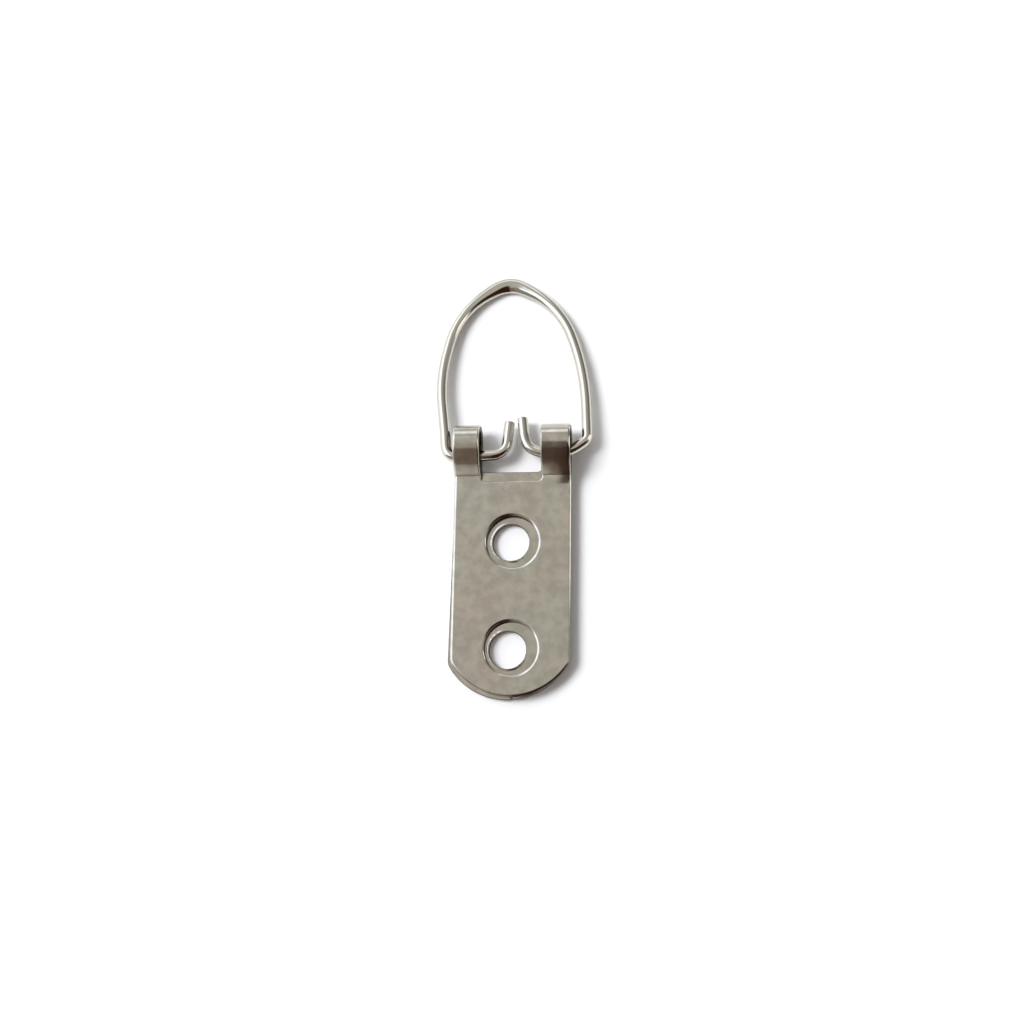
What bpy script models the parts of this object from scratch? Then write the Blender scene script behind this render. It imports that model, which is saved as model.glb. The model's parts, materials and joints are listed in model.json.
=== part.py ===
"""Two-hole strap hanger with a pointed wire ring, as screwed to the back of a picture frame.

The part lies on its back. +X is across the strap, +Y runs up it towards the ring and +Z is the
front. The origin is on the back face, midway between the screw holes. All sizes are in metres.
"""

import math

import bmesh
import bpy
from mathutils import Vector

# Strip of sheet that the strap is folded from
SHEET = 0.0009
STRAP_WIDTH = 0.0159
LEAF_GAP = 0.00008
EDGE_ROUND = 0.00015
EDGE_ROUND_STEPS = 2

# Screw holes: a wide one in the front leaf lets the screw's head through to the rear leaf
HOLE_SPACING = 0.0143
HEAD_HOLE = 0.0075
SHANK_HOLE = 0.0049
HEAD_HOLE_SHIFT = 0.00025
SHANK_HOLE_SHIFT = 0.00005

# Rounded ends of the leaves: distance from the lower hole to the front leaf's tip, the height
# of the arc, and how much further the rear leaf reaches
HOLE_TO_TIP = 0.0061
END_RISE = 0.00465
REAR_LEAF_EXCESS = 0.0005

# Rear leaf's turn about the fold, because the strip was folded slightly askew
LEAF_SKEW = math.radians(0.8)

# Wire of the ring, and the play that it has inside the folded loop
WIRE = 0.0015
WIRE_CLEARANCE = 0.0003
LOOP_PLAY = 0.0013

# Hinge line in the ears, above the upper hole: the ring sits slightly askew in them
HOLE_TO_HINGE = 0.01215
HINGE_SKEW = math.radians(2.4)

# Ramp from the front leaf up over the wire, and the flat crest between the ramp and the fold
RAMP_CLEARANCE = 0.0002
RAMP_ANGLE = math.radians(46)
RAMP_LOW_RADIUS = 0.0012
RAMP_HIGH_RADIUS = 0.00165
CREST = 0.0012

# Window between the two ears, punched across the fold: its edge on the front leaf lies below
# the ramp, and its edge on the rear leaf below the hinge line
WINDOW_WIDTH = 0.00835
WINDOW_SHIFT = -0.0002
WINDOW_CORNER = 0.00065
FRONT_WINDOW_MARGIN = 0.0004
REAR_WINDOW_DROP = 0.0022

# Ring, in its own plane from the hinge line: the gap that its legs leave beside the strap,
# and the height of its pointed top before the point is rounded
LEG_GAP = 0.00125
RING_SHIFT = 0.00025
RING_HEIGHT = 0.0254
APEX_RADIUS = 0.00395
LEFT_CORNER_RADIUS = 0.0017
LEFT_LEG_RADIUS = 0.0176
LEFT_LOW_RADIUS = 0.0219
LEFT_HIGH_RADIUS = 0.012
RIGHT_HIGH_RADIUS = 0.013
RIGHT_LOW_RADIUS = 0.0335
RIGHT_CORNER_RADIUS = 0.0012
RIGHT_CORNER_HEIGHT = 0.00145
RIGHT_EAR_RADIUS = 0.003

# Places of the ring's corners before rounding, as shares of its half width and its height
LEFT_CORNER_SHARE = 0.945
LEFT_LEG_SHARES = (0.963, 0.147)
LEFT_LOW_SHARES = (1.029, 0.456)
LEFT_HIGH_SHARES = (0.733, 0.884)
RIGHT_HIGH_SHARES = (0.679, 0.848)
RIGHT_LOW_SHARES = (1.0, 0.450)

# Turned-up ends of the wire, which nearly meet in the middle of the window and lean together
HOOK_GAP = 0.00025
HOOK_SHIFT = 0.00055
LEFT_HOOK_HEIGHT = 0.0046
RIGHT_HOOK_HEIGHT = 0.0051
LEFT_HOOK_LEAN = 0.00064
RIGHT_HOOK_LEAN = 0.00038
LEFT_HOOK_RADIUS = 0.0019
RIGHT_HOOK_RADIUS = 0.0027
TIP_CHAMFER = 0.00015

# The press that points the ring's top also spreads the wire there, and thins it
SPREAD_REACH = 0.0045
SPREAD_SHARE = 0.42
THINNING_SHARE = 0.20

# Facets: largest turn of one facet, longest facet of a wide arc, and sides of the wire
BEND_STEP = math.radians(10)
WIRE_BEND_STEP = math.radians(8)
WIDE_ARC_STEP = 0.0014
HOLE_SIDES = 40
END_STEPS = 22
CORNER_STEPS = 4
WIRE_SIDES = 16

# Faces that meet at more than these angles show as an edge, and are a rim to round
SHARP_ANGLE = math.radians(35)
RIM_ANGLE = math.radians(60)

# Share of the rounding below which a bend line and a corner of the outline count as one place
MERGE_SHARE = 0.01

# Plated steel
NICKEL_COLOUR = (0.66, 0.61, 0.53, 1.0)
STRAP_ROUGHNESS = 0.22
RING_ROUGHNESS = 0.12


def clear_scene():
    """Remove whatever objects the file opened with."""
    for thing in list(bpy.data.objects):
        bpy.data.objects.remove(thing, do_unlink=True)


def make_nickel(name, roughness):
    """Return a plain plated metal."""
    material = bpy.data.materials.new(name)
    material.use_nodes = True
    shader = material.node_tree.nodes["Principled BSDF"]
    shader.inputs["Base Color"].default_value = NICKEL_COLOUR
    shader.inputs["Metallic"].default_value = 1.0
    shader.inputs["Roughness"].default_value = roughness
    return material


def make_object(name, bm, material):
    """Turn a bmesh into a named object, smooth where its faces nearly line up."""
    mesh = bpy.data.meshes.new(name)
    bm.to_mesh(mesh)
    bm.free()
    mesh.shade_smooth()
    mesh.set_sharp_from_angle(angle=SHARP_ANGLE)
    mesh.materials.append(material)
    thing = bpy.data.objects.new(name, mesh)
    bpy.context.collection.objects.link(thing)
    return thing


def hinge_height():
    """Place of the hinge line along the strap."""
    return HOLE_SPACING / 2 + HOLE_TO_HINGE


def hinge_level():
    """Level of the hinge line above the back face."""
    return SHEET + WIRE_CLEARANCE + WIRE / 2


def front_tip():
    """Place of the front leaf's tip, below the lower hole."""
    return -HOLE_SPACING / 2 - HOLE_TO_TIP


class StripPath:
    """Side view of the strip's middle surface, from the front leaf over the fold to the rear leaf.

    Places along the strip are measured from the point midway between the front leaf's holes.
    """

    def __init__(self):
        self.pieces = []
        self.reach = 0.0
        self.place = Vector((0.0, SHEET + LEAF_GAP + SHEET / 2))
        self.heading = 0.0

    def add(self, length, turn=0.0):
        """Add a straight piece, or an arc that turns by the given angle over its length."""
        start = self.reach
        self.pieces.append((start, length, turn, self.place.copy(), self.heading))
        self.place, self.heading = self.walk(self.pieces[-1], length)
        self.reach = start + length

    def walk(self, piece, along):
        """Return the point and heading at a distance along one piece."""
        _, length, turn, place, heading = piece
        if turn == 0.0:
            step = Vector((math.cos(heading), math.sin(heading))) * along
            return place + step, heading
        radius = length / turn
        after = heading + turn * along / length
        step = Vector((math.sin(after) - math.sin(heading), math.cos(heading) - math.cos(after)))
        return place + step * radius, after

    def at(self, along):
        """Return the point and heading anywhere along the strip."""
        piece = self.pieces[0]
        for candidate in self.pieces:
            if candidate[0] <= along:
                piece = candidate
        return self.walk(piece, along - piece[0])

    def bend_lines(self):
        """Return the places where one facet of a bend meets the next."""
        lines = []
        for start, length, turn, _, _ in self.pieces:
            if turn == 0.0:
                continue
            steps = round(abs(turn) / BEND_STEP)
            lines += [start + length * i / steps for i in range(steps + 1)]
        return lines


def fold_strip():
    """Lay out the strip's bends so that the ramp just clears the wire at its lower end."""
    loop_height = 2 * SHEET + WIRE + LOOP_PLAY
    leaf_middle = SHEET + LEAF_GAP + SHEET / 2
    crest_middle = loop_height - SHEET / 2
    fold_radius = (loop_height - SHEET) / 2

    lowest_wire = hinge_height() - STRAP_WIDTH / 2 * math.tan(HINGE_SKEW)
    stand_off = WIRE / 2 + RAMP_CLEARANCE + SHEET / 2
    ramp_y = lowest_wire - stand_off * math.sin(RAMP_ANGLE)
    ramp_z = hinge_level() + stand_off * math.cos(RAMP_ANGLE)
    low_corner = ramp_y - (ramp_z - leaf_middle) / math.tan(RAMP_ANGLE)
    high_corner = ramp_y + (crest_middle - ramp_z) / math.tan(RAMP_ANGLE)

    low_tangent = RAMP_LOW_RADIUS * math.tan(RAMP_ANGLE / 2)
    high_tangent = RAMP_HIGH_RADIUS * math.tan(RAMP_ANGLE / 2)
    slant = math.hypot(high_corner - low_corner, crest_middle - leaf_middle)

    path = StripPath()
    path.add(low_corner - low_tangent)
    path.add(RAMP_LOW_RADIUS * RAMP_ANGLE, RAMP_ANGLE)
    path.add(slant - low_tangent - high_tangent)
    path.add(RAMP_HIGH_RADIUS * RAMP_ANGLE, -RAMP_ANGLE)
    path.add(CREST)
    path.add(fold_radius * math.pi, -math.pi)
    path.window_edge = low_corner - low_tangent - FRONT_WINDOW_MARGIN
    path.fold_centre = high_corner + high_tangent + CREST
    path.rear_start = path.reach
    path.add(path.fold_centre - front_tip() + REAR_LEAF_EXCESS)
    return path


def rear_place(path, height):
    """Return the place along the strip of a height on the rear leaf."""
    return path.rear_start + path.fold_centre - height


def end_arc(tip, direction):
    """Return the rounded end of a leaf, from one side to the other."""
    half = STRAP_WIDTH / 2
    radius = (half * half + END_RISE * END_RISE) / (2 * END_RISE)
    sweep = math.asin(half / radius)
    points = []
    for i in range(END_STEPS + 1):
        angle = direction * sweep * (2 * i / END_STEPS - 1)
        depth = radius * (1 - math.cos(angle))
        points.append((radius * math.sin(angle), tip + direction * depth))
    return points


def circle(centre_x, centre_y, radius):
    """Return the points of a round hole."""
    points = []
    for i in range(HOLE_SIDES):
        angle = 2 * math.pi * i / HOLE_SIDES
        points.append((centre_x + radius * math.cos(angle), centre_y + radius * math.sin(angle)))
    return points


def rounded_window(low, high):
    """Return the window's outline, a rectangle with rounded corners."""
    points = []
    reach_x = WINDOW_WIDTH / 2 - WINDOW_CORNER
    middle = (low + high) / 2
    reach_y = (high - low) / 2 - WINDOW_CORNER
    for quarter in range(4):
        start = quarter * math.pi / 2
        side_x = 1 if quarter in (0, 3) else -1
        side_y = 1 if quarter in (0, 1) else -1
        for i in range(CORNER_STEPS + 1):
            angle = start + math.pi / 2 * i / CORNER_STEPS
            x = WINDOW_SHIFT + side_x * reach_x + WINDOW_CORNER * math.cos(angle)
            y = middle + side_y * reach_y + WINDOW_CORNER * math.sin(angle)
            points.append((x, y))
    return points


def add_loop(bm, points):
    """Add a closed loop of edges to a bmesh."""
    verts = [bm.verts.new((x, y, 0.0)) for x, y in points]
    return [bm.edges.new((verts[i - 1], verts[i])) for i in range(len(verts))]


def flat_blank(path):
    """Return the unfolded strip as a bmesh slab, with its holes and its window."""
    rear_tip = rear_place(path, front_tip() - REAR_LEAF_EXCESS)
    loops = [end_arc(front_tip(), 1) + end_arc(rear_tip, -1)]
    for side in (-1, 1):
        height = side * HOLE_SPACING / 2
        loops.append(circle(HEAD_HOLE_SHIFT, height, HEAD_HOLE / 2))
        loops.append(circle(SHANK_HOLE_SHIFT, rear_place(path, height), SHANK_HOLE / 2))
    rear_edge = rear_place(path, hinge_height() - REAR_WINDOW_DROP)
    loops.append(rounded_window(path.window_edge, rear_edge))

    bm = bmesh.new()
    edges = []
    for points in loops:
        edges += add_loop(bm, points)
    bmesh.ops.triangle_fill(bm, use_beauty=True, use_dissolve=False, edges=edges, normal=(0, 0, 1))
    for line in path.bend_lines():
        parts = bm.verts[:] + bm.edges[:] + bm.faces[:]
        place = (0, line, 0)
        bmesh.ops.bisect_plane(bm, geom=parts, dist=EDGE_ROUND * MERGE_SHARE, plane_co=place,
                               plane_no=(0, 1, 0))
    raised = bmesh.ops.extrude_face_region(bm, geom=bm.faces[:], use_keep_orig=True)
    lifted = [item for item in raised["geom"] if isinstance(item, bmesh.types.BMVert)]
    bmesh.ops.translate(bm, verts=lifted, vec=(0, 0, SHEET))
    bmesh.ops.recalc_face_normals(bm, faces=bm.faces[:])
    rims = [edge for edge in bm.edges if edge.calc_face_angle(0) > RIM_ANGLE
            and abs(edge.verts[0].co.z - edge.verts[1].co.z) < SHEET / 2]
    bmesh.ops.bevel(bm, geom=rims, offset=EDGE_ROUND, segments=EDGE_ROUND_STEPS, profile=0.5,
                    affect='EDGES', clamp_overlap=True)
    return bm


def build_strap():
    """Fold the blank into two leaves that lie face to face, joined by the ears' loops."""
    path = fold_strip()
    bm = flat_blank(path)
    for vert in bm.verts:
        x, along, level = vert.co
        (y, z), heading = path.at(along)
        offset = level - SHEET / 2
        past_fold = max(along - path.rear_start, 0.0)
        x -= past_fold * math.tan(LEAF_SKEW)
        vert.co = (x, y - offset * math.sin(heading), z + offset * math.cos(heading))
    bmesh.ops.triangulate(bm, faces=bm.faces[:])
    bmesh.ops.recalc_face_normals(bm, faces=bm.faces[:])
    return make_object("hanger_strap", bm, make_nickel("strap_nickel", STRAP_ROUGHNESS))


def ring_corners():
    """Return the corners of the bent wire from the left tip to the right one, with their radii."""
    half = STRAP_WIDTH / 2 + LEG_GAP + WIRE / 2
    left_tip = HOOK_SHIFT - (WIRE + HOOK_GAP) / 2
    right_tip = HOOK_SHIFT + (WIRE + HOOK_GAP) / 2

    def corner(side, shares, radius):
        return (RING_SHIFT + side * half * shares[0], RING_HEIGHT * shares[1], radius)

    return [
        (left_tip, LEFT_HOOK_HEIGHT, 0.0),
        (left_tip - LEFT_HOOK_LEAN, 0.0, LEFT_HOOK_RADIUS),
        (RING_SHIFT - half * LEFT_CORNER_SHARE, 0.0, LEFT_CORNER_RADIUS),
        corner(-1, LEFT_LEG_SHARES, LEFT_LEG_RADIUS),
        corner(-1, LEFT_LOW_SHARES, LEFT_LOW_RADIUS),
        corner(-1, LEFT_HIGH_SHARES, LEFT_HIGH_RADIUS),
        (RING_SHIFT, RING_HEIGHT, APEX_RADIUS),
        corner(1, RIGHT_HIGH_SHARES, RIGHT_HIGH_RADIUS),
        corner(1, RIGHT_LOW_SHARES, RIGHT_LOW_RADIUS),
        (RING_SHIFT + half, RIGHT_CORNER_HEIGHT, RIGHT_CORNER_RADIUS),
        (STRAP_WIDTH / 2, 0.0, RIGHT_EAR_RADIUS),
        (right_tip + RIGHT_HOOK_LEAN, 0.0, RIGHT_HOOK_RADIUS),
        (right_tip, RIGHT_HOOK_HEIGHT, 0.0),
    ]


def round_corners(corners):
    """Return points along a path whose corners are rounded, each to its own radius.

    Where two arcs would meet on the side between them, both are made smaller.
    """
    places = [Vector(corner[:2]) for corner in corners]
    turns = [(b - a).angle(c - b) for a, b, c in zip(places, places[1:], places[2:])]
    tangents = [0.0]
    for corner, turn in zip(corners[1:], turns):
        tangents.append(corner[2] * math.tan(turn / 2))
    tangents.append(0.0)
    room = []
    for i in range(len(places) - 1):
        side = (places[i + 1] - places[i]).length
        room.append(min(1.0, side / (tangents[i] + tangents[i + 1])))

    points = [places[0]]
    for i, turn in enumerate(turns, start=1):
        back = (places[i - 1] - places[i]).normalized()
        ahead = (places[i + 1] - places[i]).normalized()
        tangent = tangents[i] * min(room[i - 1], room[i])
        radius = tangent / math.tan(turn / 2)
        centre = places[i] + (back + ahead).normalized() * radius / math.cos(turn / 2)
        arm = places[i] + back * tangent - centre
        side = 1 if back.cross(ahead) < 0 else -1
        steps = max(math.ceil(turn / WIRE_BEND_STEP), math.ceil(turn * radius / WIDE_ARC_STEP))
        for k in range(steps + 1):
            cosine = math.cos(turn * k / steps)
            sine = side * math.sin(turn * k / steps)
            turned = Vector((arm.x * cosine - arm.y * sine, arm.x * sine + arm.y * cosine))
            points.append(centre + turned)
    points.append(places[-1])
    return points


def press_shares(points):
    """Return how fully the wire is pressed at each point, from 1 at the top to 0 far from it."""
    lengths = [0.0]
    for before, after in zip(points, points[1:]):
        lengths.append(lengths[-1] + (after - before).length)
    top = max(range(len(points)), key=lambda i: points[i].y)
    return [math.exp(-((length - lengths[top]) / SPREAD_REACH) ** 2) for length in lengths]


def half_thickness(press):
    """Return half of the wire's thickness, square to the ring's plane."""
    return WIRE / 2 * (1 - THINNING_SHARE * press)


def section(bm, point, along, in_plane, through):
    """Add the vertices of one oval section, square to the path."""
    sideways = Vector((along.y, -along.x))
    verts = []
    for i in range(WIRE_SIDES):
        angle = 2 * math.pi * (i + 0.5) / WIRE_SIDES
        flat = point + sideways * in_plane * math.cos(angle)
        verts.append(bm.verts.new((flat.x, flat.y, through * math.sin(angle))))
    return verts


def sweep_wire(points, presses):
    """Sweep the wire's section along a flat path, and chamfer both of its cut ends."""
    headings = [(b - a).normalized() for a, b in zip(points, points[1:])]
    middles = [(a + b).normalized() for a, b in zip(headings, headings[1:])]
    headings = [headings[0]] + middles + [headings[-1]]
    tip = WIRE / 2 - TIP_CHAMFER

    bm = bmesh.new()
    rings = [section(bm, points[0], headings[0], tip, tip)]
    for i, point in enumerate(points):
        if i == 0:
            point = point + headings[0] * TIP_CHAMFER
        if i == len(points) - 1:
            point = point - headings[-1] * TIP_CHAMFER
        in_plane = WIRE / 2 * (1 + SPREAD_SHARE * presses[i])
        rings.append(section(bm, point, headings[i], in_plane, half_thickness(presses[i])))
    rings.append(section(bm, points[-1], headings[-1], tip, tip))
    for lower, upper in zip(rings, rings[1:]):
        for i in range(WIRE_SIDES):
            bm.faces.new((lower[i - 1], lower[i], upper[i], upper[i - 1]))
    bm.faces.new(rings[0])
    bm.faces.new(rings[-1])
    bmesh.ops.triangulate(bm, faces=bm.faces[:])
    bmesh.ops.recalc_face_normals(bm, faces=bm.faces[:])
    return bm


def droop(points, presses):
    """Return the angle by which the ring leans back until it lies on the table."""
    angles = []
    for point, press in zip(points, presses):
        thickness = half_thickness(press)
        reach = math.hypot(point.y, thickness)
        if point.y > RING_HEIGHT / 2:
            angles.append(math.asin(hinge_level() / reach) - math.atan2(thickness, point.y))
    return min(angles)


def build_ring():
    """Bend the ring from wire and hang it in the ears, its top down on the table."""
    points = round_corners(ring_corners())
    presses = press_shares(points)
    ring = make_object("d_ring", sweep_wire(points, presses), make_nickel("ring_nickel", RING_ROUGHNESS))
    ring.location = (0.0, hinge_height(), hinge_level())
    ring.rotation_euler = (-droop(points, presses), 0.0, HINGE_SKEW)
    return ring


def main():
    clear_scene()
    build_strap()
    build_ring()
    bpy.context.view_layer.update()


main()
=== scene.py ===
"""Looks of the two-hole strap hanger: both pieces as fine meshes in nickel plate, on a white table.

All sizes are in metres. +X is across the strap, +Y runs up it towards the ring, +Z is the front.
The strap is drawn flat, with the rounded and torn edges that a punch leaves, and then folded.
"""

import json
import math

import bmesh
import bpy
from mathutils import Matrix, Vector, noise


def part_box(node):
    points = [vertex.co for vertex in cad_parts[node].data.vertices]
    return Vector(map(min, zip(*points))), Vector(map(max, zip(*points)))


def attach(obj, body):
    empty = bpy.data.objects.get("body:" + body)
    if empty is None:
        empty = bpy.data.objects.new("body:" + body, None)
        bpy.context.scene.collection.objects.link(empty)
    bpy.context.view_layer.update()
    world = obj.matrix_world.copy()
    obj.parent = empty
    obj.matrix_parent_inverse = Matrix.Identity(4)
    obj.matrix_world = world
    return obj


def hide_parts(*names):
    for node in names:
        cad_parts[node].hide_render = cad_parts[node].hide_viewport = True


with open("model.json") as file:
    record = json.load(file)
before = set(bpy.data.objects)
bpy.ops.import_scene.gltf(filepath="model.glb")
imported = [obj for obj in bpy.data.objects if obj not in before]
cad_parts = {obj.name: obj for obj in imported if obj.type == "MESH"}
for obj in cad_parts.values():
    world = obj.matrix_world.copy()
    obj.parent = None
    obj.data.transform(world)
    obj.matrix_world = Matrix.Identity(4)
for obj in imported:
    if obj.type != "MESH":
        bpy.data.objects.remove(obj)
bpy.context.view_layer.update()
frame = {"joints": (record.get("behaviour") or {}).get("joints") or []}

# Strip that the strap is folded from, with the sizes of the CAD model
SHEET = 0.0009
LEAF_GAP = 0.00008
HOLE_SPACING = 0.0143
SHANK_HOLE = 0.0049
SHANK_HOLE_SHIFT = 0.00005
END_RISE = 0.00465

# Sizes that are a little finer than the CAD model's: the wide holes are narrower, higher and more
# to the left, the upper small hole is higher, the front leaf ends a little lower and the rear leaf
# a little higher, and the rear leaf is turned more
HEAD_HOLE = 0.00714
HEAD_HOLE_SHIFT = 0.00006
HEAD_HOLE_RISE = 0.00016
SHANK_HOLE_RISES = {-1: 0.0, 1: 0.00015}
HOLE_TO_TIP = 0.0062
REAR_LEAF_EXCESS = 0.00036
LEAF_SKEW = math.radians(0.95)

# Ramp, crest and loop of the ears
WIRE = 0.0015
RAMP_CLEARANCE = 0.0002
RAMP_ANGLE = math.radians(46)
RAMP_LOW_RADIUS = 0.0012
RAMP_HIGH_RADIUS = 0.00165
CREST = 0.0012

# The fine ramp is domed above and a little steeper at its foot, round the CAD model's plain slope
DOME_RADIUS = 0.0044
DOME_ANGLE = math.radians(45)
FOOT_RADIUS = 0.00052
FOOT_ANGLE = math.radians(46.5)

# Window between the ears
WINDOW_WIDTH = 0.00835
WINDOW_SHIFT = -0.0002
WINDOW_CORNER = 0.00065
FRONT_WINDOW_MARGIN = 0.0004
REAR_WINDOW_DROP = 0.0022

# Edges that the punch leaves: a rolled-over rim on the outer face, a burnished wall, then a torn
# wall that leans in, and a fine broken corner on the inner face, with a burr at the small holes
ROLL_WIDTH = 0.00036
WINDOW_ROLL_WIDTH = 0.00022
ROLL_DEPTH = 0.00024
ROLL_SWEEP = math.radians(62)
ROLL_STEPS = 9
TORN_LEVEL = 0.00073
TORN_LEAN = 0.00003
CORNER_BREAK = 0.00011
BURR = 0.00004
BURR_WIDTH = 0.00022
FLAT_RIM = 0.00003

# Corner where an end's arc meets the side, and the torn cut-off mark at the rear leaf's tip, a notch
# that is also painted dark as painted shade
SIDE_EASE = 0.0005
EASE_STEPS = 5
MARK_PLACE = 0.00023
MARK_WIDTH = 0.00015
MARK_DEPTH = 0.00042
MARK_STEP = 0.00003
MARK_STEPS = 11
MARK_CLEAR = 0.0005

# Fineness of the strap's mesh. The lower cuts lie between the origin and the front leaf's tip.
GRID_STEP = 0.0005
BEND_STEP = math.radians(2.5)
BEND_EASE = 0.00024
LOWER_CUTS = 40
HOLE_SIDES = 120
END_STEPS = 70
WINDOW_STEPS = 8
SAME_PLACE = 0.000001

# Material index that marks the flat faces while the sheet is cut
FLAT_MARK = 1

# Angle between two faces above which either piece shows a sharp edge
SHARP_ANGLE = math.radians(32)

# Faint unevenness of the sheet
WAVE_HEIGHT = 0.000004
WAVE_SIZE = 0.005

# Lift of the right ear's foot. It is highest a little below the end of the foot's bend, fades out
# over one reach below that place and another above it, and grows between two places across the
# ear, which runs from -1 at its inner side to 1 at its outer side.
EAR_LIFT = 0.00026
EAR_LIFT_DROP = 0.00035
EAR_LIFT_REACHES = (0.0009, 0.0017)
EAR_LIFT_SHARES = (-1.0, 0.35)

# Ring, in its own plane from the hinge line
LEG_GAP = 0.00125
RING_SHIFT = 0.00025
RING_HEIGHT = 0.0254
APEX_RADIUS = 0.00395
LEFT_CORNER_RADIUS = 0.0017
LEFT_LEG_RADIUS = 0.0176
LEFT_LOW_RADIUS = 0.0219
LEFT_HIGH_RADIUS = 0.012
RIGHT_HIGH_RADIUS = 0.013
RIGHT_LOW_RADIUS = 0.0335
RIGHT_CORNER_RADIUS = 0.0012
RIGHT_CORNER_HEIGHT = 0.00145
RIGHT_EAR_RADIUS = 0.003
LEFT_CORNER_SHARE = 0.945
LEFT_LEG_SHARES = (0.963, 0.147)
LEFT_LOW_SHARES = (1.029, 0.456)
LEFT_HIGH_SHARES = (0.733, 0.884)
RIGHT_HIGH_SHARES = (0.679, 0.848)
RIGHT_LOW_SHARES = (1.0, 0.450)

# Turned-up ends of the wire
HOOK_GAP = 0.00025
HOOK_SHIFT = 0.00055
LEFT_HOOK_HEIGHT = 0.0046
RIGHT_HOOK_HEIGHT = 0.0051
LEFT_HOOK_LEAN = 0.00064
RIGHT_HOOK_LEAN = 0.00038
LEFT_HOOK_RADIUS = 0.0019
RIGHT_HOOK_RADIUS = 0.0027

# Pressed top of the ring
SPREAD_REACH = 0.0045
SPREAD_SHARE = 0.42
THINNING_SHARE = 0.20
PRESS_SQUARENESS = 0.05
PRESS_TWIST = math.radians(-12)

# Fineness of the ring's mesh; the CAD wire has flats, and the fine wire fits inside them
CAD_WIRE_SIDES = 16
WIRE_SIDES = 56
STATION_STEP = 0.00016
PATH_EASE = 0.0007
LEAST_EASE = SAME_PLACE * 10
EASE_SAMPLES = 9
ARC_STEP = math.radians(2)
TIP_ROUND = 0.00012
TIP_ROUND_STEPS = 3

# Nickel plate
NICKEL = (0.66, 0.61, 0.53)
NICKEL_GREEN = (0.635, 0.625, 0.535)
# The torn walls' two colours are torn steel's duller tone, darkened further by painted shade
TORN_DARK_WITH_SHADE = (0.10, 0.078, 0.066)
TORN_PALE_WITH_SHADE = (0.21, 0.18, 0.157)
STRAP_ROUGHNESS = (0.12, 0.17)
RING_ROUGHNESS = (0.07, 0.13)
TORN_ROUGHNESS = 0.48

# Stretch of the strap's patterns, in cycles a metre on X, Y and Z
ROLLED_STRETCH = (9000, 500, 9000)
SHEARED_STRETCH = (5000, 5000, 1100)

# Stretch of the wire's lines, in cycles a metre along it and in cycles a radius across it
DRAWN_ALONG = 250.0
DRAWN_ACROSS = 9.0

# Noise of each pattern, as its scale and its detail
STRAP_CLOUDS = (220, 3.0)
STRAP_SPECKS = (620, 4.0)
STRAP_GLOSS = (420, 5.0)
STRAP_GRAIN = (7000, 2.0)
ROLLED_LINES = (1.0, 2.0)
WALL_TEARS = (1.0, 4.0)
RING_CLOUDS = (300, 3.0)
RING_GLOSS = (1.0, 3.0)
RING_GRAIN = (2600, 3.0)
DRAWN_LINES = (1.6, 2.0)

# Part of each noise over which its blend goes from none to all, and the most that specks darken
CLOUD_SPAN = (0.35, 0.65)
SPECK_SPAN = (0.30, 0.70)
SPECK_SHARE = 0.22
TEAR_SPAN = (0.35, 0.68)
GLOSS_SPAN = (0.3, 0.7)

# Bumps, as their strength and their height
STRAP_GRAIN_BUMP = (0.25, 0.000012)
ROLLED_BUMP = (0.12, 0.00001)
TEAR_BUMP = (0.6, 0.00003)
DRAWN_BUMP = (0.10, 0.00002)
RING_GRAIN_BUMP = (0.10, 0.00001)

# Places of the colour sockets on a Mix node
MIX_COLOUR_INPUTS = (6, 7)
MIX_COLOUR_OUTPUT = 2

# Camera, placed as in the photograph
CAMERA_PLACE = Vector((0.020934, -0.022081, 0.158963))
CAMERA_TARGET = Vector((0.000424, 0.010891, 0.00185))
CAMERA_LEAN = math.radians(0.915)
LENS = 42.05
SENSOR = 36.0
CLIP_NEAR = 0.01
CLIP_FAR = 20.0

# Table and light
WHITE = (1.0, 1.0, 1.0)
TABLE_SIZE = 8.0
TABLE_DROP = 0.00002
TABLE_WHITE = 0.93
TABLE_GLOW = 0.03
SUN_STRENGTH = 2.25
SUN_ANGLE = math.radians(25)
SUN_FROM = Vector((-0.77, 0.27, 1.0))

# Studio round the table: grey overhead, then upright cards, each given by the middle of its
# sector, half of the sector, the tilts from the zenith that it spans, its soft rim and colour.
# Sectors are angles from +X towards +Y, and all angles are in degrees.
OVERHEAD = (0.592, 0.568, 0.538)
CARDS = (
    (0, 26, 22, 180, 8, (0.40, 0.40, 0.39)),
    (64, 42, 22, 36, 8, (0.46, 0.45, 0.44)),
    (64, 42, 36, 180, 10, (0.30, 0.30, 0.295)),
    (36, 16, 56, 180, 10, (0.20, 0.205, 0.20)),
    (36, 20, 76, 180, 8, (0.09, 0.09, 0.09)),
    (66, 7, 40, 180, 6, (0.34, 0.34, 0.33)),
    (98, 22, 20, 46, 5, (0.56, 0.55, 0.53)),
    (98, 22, 46, 66, 5, (1.30, 1.34, 1.42)),
    (98, 22, 66, 180, 5, (0.66, 0.67, 0.69)),
    (230, 36, 21, 75.5, 5, (0.25, 0.195, 0.162)),
    (230, 36, 77.8, 180, 5, (0.80, 0.79, 0.77)),
    (218, 18, 24, 180, 5, (0.33, 0.31, 0.29)),
    (161, 40, 22, 62, 5, (1.64, 1.76, 2.00)),
    (161, 40, 62, 180, 5, (1.34, 1.38, 1.48)),
)

# A little over 1, so that a direction straight up or down still has a level part above zero
OVER_ONE = 1.0001

# Dark front of the room: everything to the right of one edge and in front of another
FRONT_LEFT_EDGE = -0.13
FRONT_LEFT_RIM = 0.08
FRONT_BACK_EDGE = 0.045
FRONT_BACK_SIDE = math.radians(253)
FRONT_BACK_RIM = 0.06
FRONT_DARK = (0.040, 0.015, 0.010)

# Grey card at the front right, given as the cards above and laid over the dark front
FRONT_CARD = (318, 26, 64, 180, 8, (0.26, 0.25, 0.235))

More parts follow.
